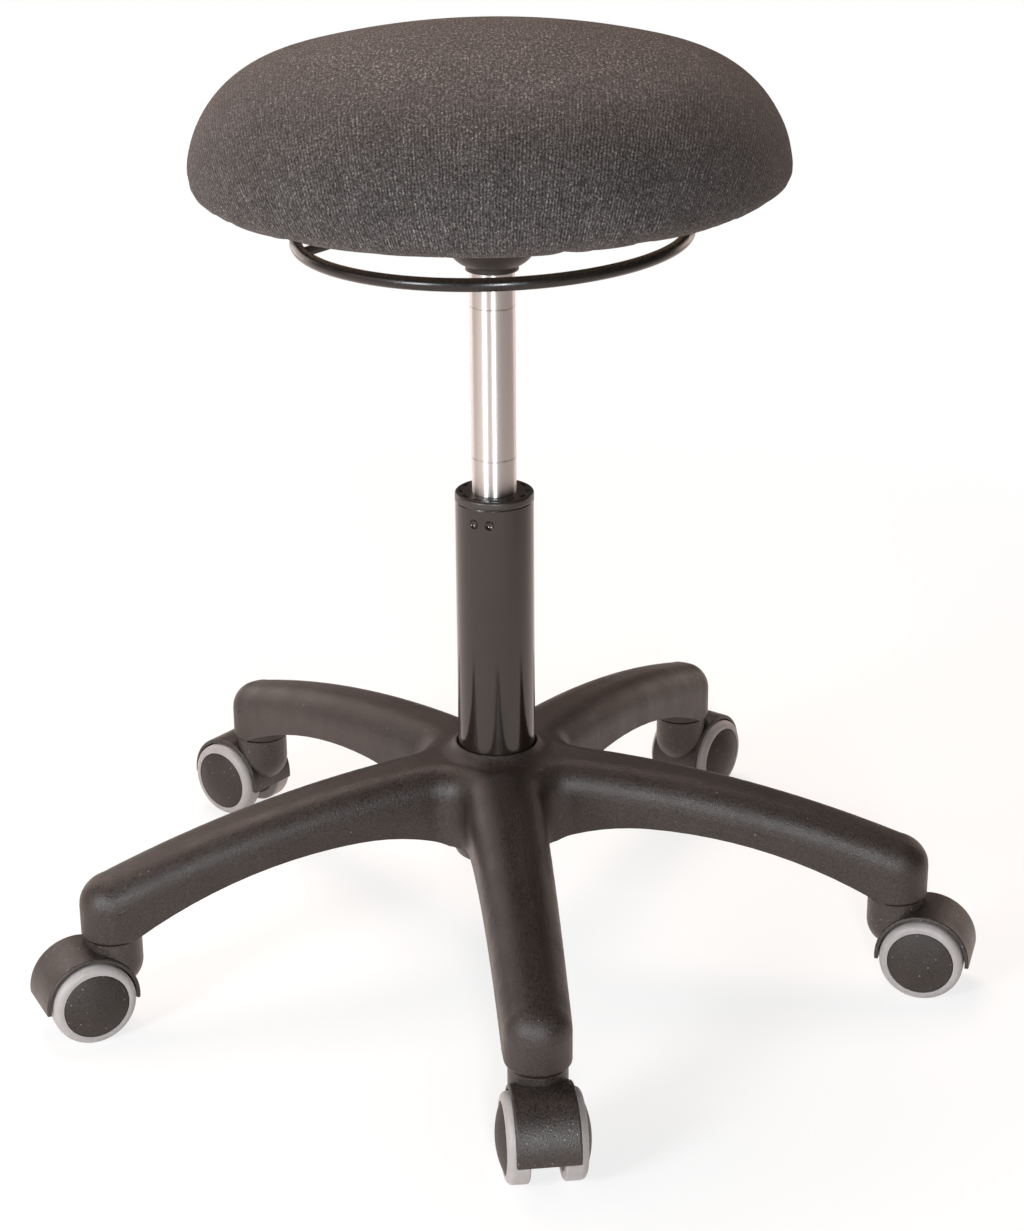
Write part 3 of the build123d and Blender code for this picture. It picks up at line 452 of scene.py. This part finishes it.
def plywood():
    """Plywood: long grain, pores and darker growth lines."""
    g = Graph("plywood")
    place = g.place()
    bend = g.streaks(place, (10.0, 60.0, 10.0), 4.0, 0.6)
    grain = g.streaks(place, (30.0, 700.0, 700.0), 3.0, 0.65)
    tone = g.sum(g.times(bend, 0.6), g.times(grain, 0.4))
    colour = g.ramp(tone, [
        (0.30, (0.26, 0.165, 0.085)),
        (0.52, (0.45, 0.315, 0.185)),
        (0.70, (0.58, 0.43, 0.27)),
    ])
    g.set(
        Base_Color=colour,
        Roughness=g.span(grain, *NOISE_SPREAD, 0.5, 0.7),
        Normal=g.bump(grain, 0.00015, 0.6),
    )
    return g.material


def foam():
    """Open-cell foam."""
    g = Graph("foam")
    place = g.place()
    distance, _ = g.cells(place, 900.0)
    cloud = g.noise(place, 30.0, 3.0, 0.5)
    g.set(
        Base_Color=g.mix(g.span(cloud, *NOISE_SPREAD), (0.62, 0.52, 0.33), (0.74, 0.66, 0.46)),
        Roughness=g.span(distance, 0.1, 0.6, 0.85, 0.98),
        Normal=g.bump(distance, 0.0004, 0.7),
    )
    return g.material


def rubber():
    """Black rubber with a bloom."""
    g = Graph("rubber_black")
    place = g.place()
    bloom = g.noise(place, 90.0, 4.0, 0.65)
    fine = g.noise(place, 1500.0, 2.0, 0.6)
    g.set(
        Base_Color=g.mix(g.span(bloom, 0.35, 0.7), (0.016, 0.015, 0.015), (0.040, 0.038, 0.037)),
        Roughness=g.span(bloom, *NOISE_SPREAD, 0.62, 0.80),
        Normal=g.bump(fine, 0.00005, 0.5),
    )
    return g.material


# Cushion

def mesh_piece(name, points, faces):
    """A new object made of points and faces."""
    mesh = bpy.data.meshes.new(name)
    mesh.from_pydata([tuple(point) for point in points], [], faces)
    piece = bpy.data.objects.new(name, mesh)
    bpy.context.scene.collection.objects.link(piece)
    return piece


def circle(radius, height, count):
    """Points round the axis, at even steps from +X."""
    angles = [2 * math.pi * index / count for index in range(count)]
    return [(radius * math.cos(angle), radius * math.sin(angle), height) for angle in angles]


def seat_profile():
    """Radius, height and length at equal steps along the cover, from the crown to the turned-under lip."""
    widest = SEAT_UNDERSIDE + SEAT_EDGE_ROUND
    radius, rise, shoulder = SEAT_RADIUS, SEAT_CROWN_RISE, SEAT_SHOULDER
    crown = (radius ** 2 + rise ** 2 - 2 * radius * shoulder) / (2 * (rise - shoulder))
    centre = widest + rise - crown
    join = math.atan2(widest - centre, radius - shoulder)
    inner = radius - SEAT_EDGE_ROUND
    arcs = [
        (0.0, centre, crown, math.pi / 2, join),
        (radius - shoulder, widest, shoulder, join, 0.0),
        (inner, widest, SEAT_EDGE_ROUND, 0.0, -math.pi / 2),
    ]
    total = sum(bend * (start - end) for _, _, bend, start, end in arcs) + TURN_UNDER
    points = []
    for index in range(COVER_RINGS + 1):
        length = total * index / COVER_RINGS
        left = length
        for across, up, bend, start, end in arcs:
            if left <= bend * (start - end):
                angle = start - left / bend
                points.append((across + bend * math.cos(angle), up + bend * math.sin(angle), length))
                break
            left -= bend * (start - end)
        else:
            points.append((inner - left, SEAT_UNDERSIDE, length))
    return points


def ring_faces(inner, inner_count, outer, outer_count):
    """Triangles between two neighbouring rings of points."""
    faces = []
    step_in, step_out = inner_count // SECTORS, outer_count // SECTORS
    for sector in range(SECTORS):
        for index in range(step_out):
            a = outer + (sector * step_out + index) % outer_count
            b = outer + (sector * step_out + index + 1) % outer_count
            c = inner + (sector * step_in + index) % inner_count
            faces.append((a, b, c))
            if index < step_in:
                d = inner + (sector * step_in + index + 1) % inner_count
                faces.append((b, d, c))
    return faces


def cover_sheet():
    """The cover laid over the seat's form: points, places on the flat cut with lengths, rings and faces."""
    profile = seat_profile()
    points = [(0.0, 0.0, profile[0][1])]
    weave = [(0.0, 0.0, 0.0)]
    rings = [0]
    faces = []
    start, count = 0, 1
    for ring in range(1, COVER_RINGS + 1):
        radius, height, length = profile[ring]
        first = len(points)
        ring_count = SECTORS * ring
        points += circle(radius, height, ring_count)
        weave += circle(length, length, ring_count)
        rings += [ring] * ring_count
        if ring == 1:
            faces += [(0, first + index, first + (index + 1) % SECTORS) for index in range(SECTORS)]
        else:
            faces += ring_faces(start, count, first, ring_count)
        start, count = first, ring_count
    return np.array(points), weave, rings, faces


def staple_places():
    """Where the cover is stapled under the board, a little unevenly: x, y and turn."""
    spread = random.Random(STAPLE_SEED)
    places = []
    for index in range(STAPLE_COUNT):
        step = index + spread.uniform(-STAPLE_STEP_STRAY, STAPLE_STEP_STRAY)
        angle = 2 * math.pi * step / STAPLE_COUNT
        radius = STAPLE_RADIUS + spread.uniform(-STAPLE_RADIUS_STRAY, STAPLE_RADIUS_STRAY)
        turn = spread.uniform(-STAPLE_TURN_STRAY, STAPLE_TURN_STRAY)
        places.append((radius * math.cos(angle), radius * math.sin(angle), angle + math.pi / 2 + turn))
    return places


def held_points(points):
    """Numbers of the points under the board that a staple grips or that lie inside the row of staples."""
    spots = np.array([(x, y) for x, y, _ in staple_places()])
    nearest = np.linalg.norm(points[:, None, :2] - spots[None], axis=2).min(axis=1)
    inside = np.hypot(points[:, 0], points[:, 1]) < STAPLE_RADIUS - STAPLE_GRIP
    under = points[:, 2] < SEAT_UNDERSIDE + CLOTH_UNDER_BAND
    return np.flatnonzero(under & (inside | (nearest < STAPLE_GRIP))).tolist()


def puff(points, faces):
    """How far each point moves as cloth that is held at the staples and pressed out by the foam."""
    piece = mesh_piece("cover_cloth", points, faces)
    mesh = piece.data
    held = piece.vertex_groups.new(name="held")
    held.add(held_points(points), 1.0, "REPLACE")
    cloth = piece.modifiers.new("cloth", "CLOTH")
    settings = cloth.settings
    settings.quality = CLOTH_QUALITY
    settings.mass = CLOTH_MASS
    settings.tension_stiffness = CLOTH_STRETCH
    settings.compression_stiffness = CLOTH_STRETCH
    settings.shear_stiffness = CLOTH_SHEAR
    settings.bending_stiffness = CLOTH_BEND
    settings.use_pressure = True
    settings.uniform_pressure_force = CLOTH_PRESSURE
    settings.vertex_group_mass = "held"
    settings.effector_weights.gravity = 0.0
    cloth.collision_settings.use_self_collision = False
    cloth.point_cache.frame_end = CLOTH_FRAMES
    scene = bpy.context.scene
    for step in range(1, CLOTH_FRAMES + 1):
        scene.frame_set(step)
    shape = piece.evaluated_get(bpy.context.evaluated_depsgraph_get()).to_mesh()
    ended = np.zeros(points.size)
    shape.vertices.foreach_get("co", ended)
    scene.frame_set(1)
    bpy.data.objects.remove(piece)
    bpy.data.meshes.remove(mesh)
    moved = ended.reshape(-1, 3) - points
    reach = np.linalg.norm(moved, axis=1, keepdims=True)
    return moved * np.minimum(1.0, CLOTH_CAP / np.maximum(reach, SMALLEST))


def uneven(moved, points, rings):
    """The part of the movement that differs round each ring, so that the seat keeps its measured form."""
    angle = np.arctan2(points[:, 1], points[:, 0])
    level = np.zeros(len(angle))
    outward = np.stack([np.cos(angle), np.sin(angle), level], axis=1)
    sideways = np.stack([-np.sin(angle), np.cos(angle), level], axis=1)
    upward = np.stack([level, level, level + 1.0], axis=1)
    result = np.zeros_like(moved)
    for axis in (outward, sideways, upward):
        amount = (moved * axis).sum(axis=1)
        mean = np.bincount(rings, amount) / np.bincount(rings)
        result += axis * (amount - mean[rings])[:, None]
    return result


def settled(places):
    """The cover leant and shifted above its lower edge, and its lower edge drawn up on the right."""
    above = np.clip((places[:, 2] - SEAT_UNDERSIDE) / (2 * SEAT_EDGE_ROUND), 0.0, 1.0)
    places[:, 2] += above * places[:, 0] * math.tan(SEAT_LEAN)
    places[:, 0] += above * SEAT_SHIFT
    reach = np.hypot(places[:, 0], places[:, 1])
    facing = np.cos(np.arctan2(places[:, 1], places[:, 0]) - EDGE_PULL_ANGLE)
    low = np.clip(1.0 - (places[:, 2] - SEAT_UNDERSIDE) / EDGE_PULL_HEIGHT, 0.0, 1.0)
    outer = np.clip((reach - EDGE_PULL_START) / EDGE_PULL_SPAN, 0.0, 1.0)
    places[:, 2] += EDGE_PULL * low * outer * np.clip(facing, 0.0, 1.0) ** EDGE_PULL_POWER
    return [tuple(place) for place in places]


def close_pocket(points, weave, faces):
    """Adds the pad's inner side: from the lip out to the board's edge, up round it and across its top."""
    fold = SEAT_UNDERSIDE + FABRIC_FOLD
    inside = [
        (SEAT_RADIUS - SEAT_EDGE_ROUND - TURN_UNDER, fold),
        (BOARD_POCKET_RADIUS, fold),
        (BOARD_POCKET_RADIUS, BOARD_POCKET_TOP),
        (BOARD_POCKET_RADIUS / 2, BOARD_POCKET_TOP),
    ]
    previous = len(points) - RIM_COUNT
    for radius, height in inside:
        first = len(points)
        points += circle(radius, height, RIM_COUNT)
        weave += circle(radius, radius, RIM_COUNT)
        for index in range(RIM_COUNT):
            after = (index + 1) % RIM_COUNT
            faces.append((previous + after, previous + index, first + index, first + after))
        previous = first
    middle = len(points)
    points.append((0.0, 0.0, BOARD_POCKET_TOP))
    weave.append((0.0, 0.0, 0.0))
    for index in range(RIM_COUNT):
        faces.append((previous + (index + 1) % RIM_COUNT, previous + index, middle))


def cushion(material):
    """The upholstered pad: simulated cover, turned under the board, closed round the board's pocket."""
    cover, weave, rings, faces = cover_sheet()
    cover = cover + uneven(puff(cover, faces), cover, rings)
    points = settled(cover)
    close_pocket(points, weave, faces)
    piece = mesh_piece("seat_cushion", points, faces)
    mesh = piece.data
    attribute = mesh.attributes.new("weave", "FLOAT_VECTOR", "POINT")
    attribute.data.foreach_set("vector", np.array(weave, np.float32).ravel())
    mesh.polygons.foreach_set("use_smooth", [True] * len(mesh.polygons))
    mesh.update()
    mesh.materials.append(material)
    return piece


def staples(material):
    """The row of wire staples that holds the cover under the board."""
    points, faces = [], []
    half, side, thick = STAPLE_SPAN / 2, STAPLE_WIDTH / 2, STAPLE_THICK
    bend = STAPLE_FLAT_SHARE * half
    outline = [(-half, 0.0), (-bend, -thick), (bend, -thick), (half, 0.0)]
    for x, y, turn in staple_places():
        place = Matrix.Translation((x, y, SEAT_UNDERSIDE)) @ Matrix.Rotation(turn, 4, "Z")
        first = len(points)
        for along, drop in outline:
            for across in (-side, side):
                points.append(place @ Vector((along, across, drop)))
                points.append(place @ Vector((along, across, drop + thick)))
        for index in range(len(outline) - 1):
            a, b = first + 4 * index, first + 4 * (index + 1)
            faces += [
                (a, b, b + 2, a + 2),
                (a + 3, b + 3, b + 1, a + 1),
                (a + 1, b + 1, b, a),
                (a + 2, b + 2, b + 3, a + 3),
            ]
        last = first + 4 * (len(outline) - 1)
        faces += [(first, first + 2, first + 3, first + 1), (last + 1, last + 3, last + 2, last)]
    piece = mesh_piece("seat_staples", points, faces)
    edge = piece.modifiers.new("edge", "BEVEL")
    edge.width = STAPLE_EDGE_SHARE * thick
    edge.segments = 2
    piece.data.materials.append(material)
    return piece


# Materials on the solids

def paint(material, *names):
    """Gives the named solids one material."""
    for name in names:
        slots = nodes[name].data.materials
        slots.clear()
        slots.append(material)


def caster_names(piece):
    """The names of one piece on all five casters."""
    return [f"caster_{index}_{piece}" for index in range(1, 6)]


seat_cloth = fabric()
base_nylon = nylon(
    "nylon_base",
    dark=(0.0140, 0.0098, 0.0083),
    light=(0.0198, 0.0142, 0.0122),
    rough=0.48,
    grain=0.95,
    dust=0.02,
    gloss=0.42,
)
hood_nylon = nylon(
    "nylon_hood",
    dark=(0.0145, 0.0108, 0.0093),
    light=(0.0215, 0.0164, 0.0145),
    rough=0.44,
    grain=1.00,
    dust=0.22,
    gloss=0.45,
)
cap_nylon = nylon(
    "nylon_cap",
    dark=(0.0160, 0.0126, 0.0112),
    light=(0.0220, 0.0176, 0.0160),
    rough=0.58,
    grain=0.80,
    dust=0.16,
    gloss=0.32,
)
bush_nylon = nylon(
    "nylon_bush",
    dark=(0.0110, 0.0086, 0.0076),
    light=(0.0150, 0.0120, 0.0108),
    rough=0.20,
    grain=0.10,
    dust=0.03,
    gloss=0.5,
)
ring_paint = lacquer(
    "paint_ring",
    dark=(0.0075, 0.0062, 0.0056),
    light=(0.0105, 0.0088, 0.0080),
    rough=0.20,
    peel=0.5,
    gloss=0.34,
)
column_paint = lacquer(
    "paint_column",
    dark=(0.0090, 0.0064, 0.0050),
    light=(0.0120, 0.0088, 0.0070),
    rough=0.09,
    peel=0.20,
    joint=CAP_JOINT_HEIGHT,
)
bush_plastic = lacquer(
    "plastic_bush",
    dark=(0.0150, 0.0116, 0.0100),
    light=(0.0190, 0.0150, 0.0132),
    rough=0.34,
    peel=0.30,
    joint=CAP_JOINT_HEIGHT,
)
hub_paint = lacquer(
    "paint_hub",
    dark=(0.0080, 0.0060, 0.0048),
    light=(0.0110, 0.0084, 0.0070),
    rough=0.42,
    peel=0.7,
    gloss=0.34,
)
tube_steel = ground_steel(
    "steel_tube",
    base=(0.53, 0.52, 0.52),
    rough=0.36,
    lines=2600.0,
    scribes=SCRIBE_HEIGHTS,
    stretch=0.88,
)
plain_steel = ground_steel("steel_plain", base=(0.56, 0.55, 0.54), rough=0.28, lines=1800.0)
zinc_steel = ground_steel("steel_zinc", base=(0.60, 0.60, 0.57), rough=0.36, lines=900.0)
soft_tread = tread()
black_rubber = rubber()

paint(base_nylon, "star_base")
paint(hood_nylon, *caster_names("hood"))
paint(cap_nylon, *caster_names("left_wheel"), *caster_names("right_wheel"))
paint(soft_tread, *caster_names("left_tread"), *caster_names("right_tread"))
paint(bush_plastic, "guide_bush")
paint(bush_nylon, "press_hub", "rod_guide")
paint(ring_paint, "release_ring", "ring_spokes")
paint(column_paint, "column_tube")
paint(hub_paint, "seat_hub", "mounting_plate")
paint(tube_steel, "pressure_tube")
paint(plain_steel, "bearing_race_lower", "bearing_balls", "bearing_race_upper", *caster_names("axle"))
paint(plain_steel, "release_button", "valve_body", "piston_rod", "piston")
paint(zinc_steel, "tee_nuts", "seat_bolts", "seat_bolt_washers", "retaining_clip", "hub_ring")
paint(zinc_steel, "caster_stems", "stem_grip_rings")
paint(black_rubber, "rod_seal", "piston_ring", "bump_stop")
paint(plywood(), "seat_board")
paint(foam(), "seat_foam")

pad = cushion(seat_cloth)
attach(pad, "seat")
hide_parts("seat_cover", "seat_foam")

staple_row = staples(zinc_steel)
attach(staple_row, "seat")


# Stage

def floor():
    """A pale floor that shows white to the camera and keeps a soft shadow."""
    corners = [
        (-FLOOR_REACH, -FLOOR_REACH, 0.0),
        (FLOOR_REACH, -FLOOR_REACH, 0.0),
        (FLOOR_REACH, FLOOR_REACH, 0.0),
        (-FLOOR_REACH, FLOOR_REACH, 0.0),
    ]
    piece = mesh_piece("floor", corners, [(0, 1, 2, 3)])
    g = Graph("floor_white")
    place = g.place()
    away = g.add("ShaderNodeVectorMath", {"operation": "LENGTH"}, {0: place}).outputs["Value"]
    unlit = g.span(g.part(place, "X"), FLOOR_SHADE_START, FLOOR_SHADE_END)
    g.set(
        Base_Color=g.mix(unlit, FLOOR_LIT, FLOOR_UNLIT),
        Roughness=0.9,
        Specular_IOR_Level=0.1,
    )
    ray = g.add("ShaderNodeLightPath").outputs
    white = g.add("ShaderNodeEmission", None, {"Color": WHITE, "Strength": 1.0})
    glow = g.add("ShaderNodeEmission", None, {"Color": ROOM_TINT, "Strength": FLOOR_GLOW})
    mirrored = g.times(ray["Is Glossy Ray"], g.span(unlit, 0.0, 1.0, FLOOR_GLOW_LEFT, FLOOR_GLOW_RIGHT))
    seen = g.times(ray["Is Camera Ray"], g.span(away, SHADOW_NEAR, SHADOW_FAR, SHADOW_WHITE, 1.0))
    lit = g.blend(mirrored, g.shader.outputs["BSDF"], glow.outputs["Emission"])
    g.fill(g.output.inputs["Surface"], g.blend(seen, lit, white.outputs["Emission"]))
    piece.data.materials.append(g.material)


def sky():
    """White to the camera; on the object a soft room light that weakens to the right."""
    world = bpy.data.worlds.new("studio")
    bpy.context.scene.world = world
    world.use_nodes = True
    g = Nodes(world.node_tree)
    rightward = g.part(g.add("ShaderNodeTexCoord").outputs["Generated"], "X")
    level = g.span(rightward, -1.0, 1.0, ROOM_LEFT, ROOM_RIGHT)
    soft = g.add("ShaderNodeBackground", None, {"Color": ROOM_TINT, "Strength": level})
    white = g.add("ShaderNodeBackground", None, {"Color": WHITE, "Strength": 1.0})
    seen = g.add("ShaderNodeLightPath").outputs["Is Camera Ray"]
    output = g.add("ShaderNodeOutputWorld")
    shown = g.blend(seen, soft.outputs["Background"], white.outputs["Background"])
    g.fill(output.inputs["Surface"], shown)


def lamp(name, place, size, power, colour, aim=LAMP_AIM):
    """A rectangular lamp that the camera doesn't see."""
    data = bpy.data.lights.new(name, "AREA")
    data.color = colour
    data.shape = "RECTANGLE"
    data.size, data.size_y = size
    data.energy = power
    piece = bpy.data.objects.new(name, data)
    piece.location = place
    piece.visible_camera = False
    piece.rotation_mode = "QUATERNION"
    piece.rotation_quaternion = (Vector(aim) - Vector(place)).to_track_quat("-Z", "Y")
    bpy.context.scene.collection.objects.link(piece)


def camera():
    """The photograph's view: elevation, distance and roll as fitted to the floor, column and arms."""
    data = bpy.data.cameras.new("camera")
    data.sensor_fit = "AUTO"
    data.sensor_width = CAMERA_SENSOR
    data.lens = CAMERA_LENS
    data.clip_start = CAMERA_NEAR
    data.clip_end = CAMERA_FAR
    back = Vector((0.0, -math.cos(CAMERA_ELEVATION), math.sin(CAMERA_ELEVATION)))
    piece = bpy.data.objects.new("camera", data)
    piece.rotation_mode = "QUATERNION"
    piece.location = CAMERA_TARGET + back * CAMERA_DISTANCE
    level = (-back).to_track_quat("-Z", "Y").to_matrix().to_4x4()
    piece.rotation_quaternion = (level @ Matrix.Rotation(CAMERA_ROLL, 4, "Z")).to_quaternion()
    bpy.context.scene.collection.objects.link(piece)
    bpy.context.scene.camera = piece


floor()
sky()
lamp("key_left", place=(-1.8, -0.6, 1.2), size=(1.2, 1.6), power=9.0, colour=WARM)
lamp("top_warm", place=(-0.3, 0.9, 2.3), size=(1.4, 1.2), power=47.0, colour=AMBER)
lamp("front_soft", place=(0.18, -2.30, 0.92), size=(0.22, 0.7), power=42.0, colour=COOL)
lamp("front_left", place=(-1.55, -1.75, 0.95), size=(0.6, 0.7), power=50.0, colour=COOL)
lamp("back_left", place=(-1.5, 1.6, 0.8), size=(1.2, 1.6), power=14.0, colour=WARM)
lamp("back_right", place=(1.5, 1.5, 0.45), size=(1.0, 0.8), power=6.0, colour=AMBER, aim=(0.15, 0.15, 0.1))
camera()
bpy.context.scene.view_settings.view_transform = "Standard"
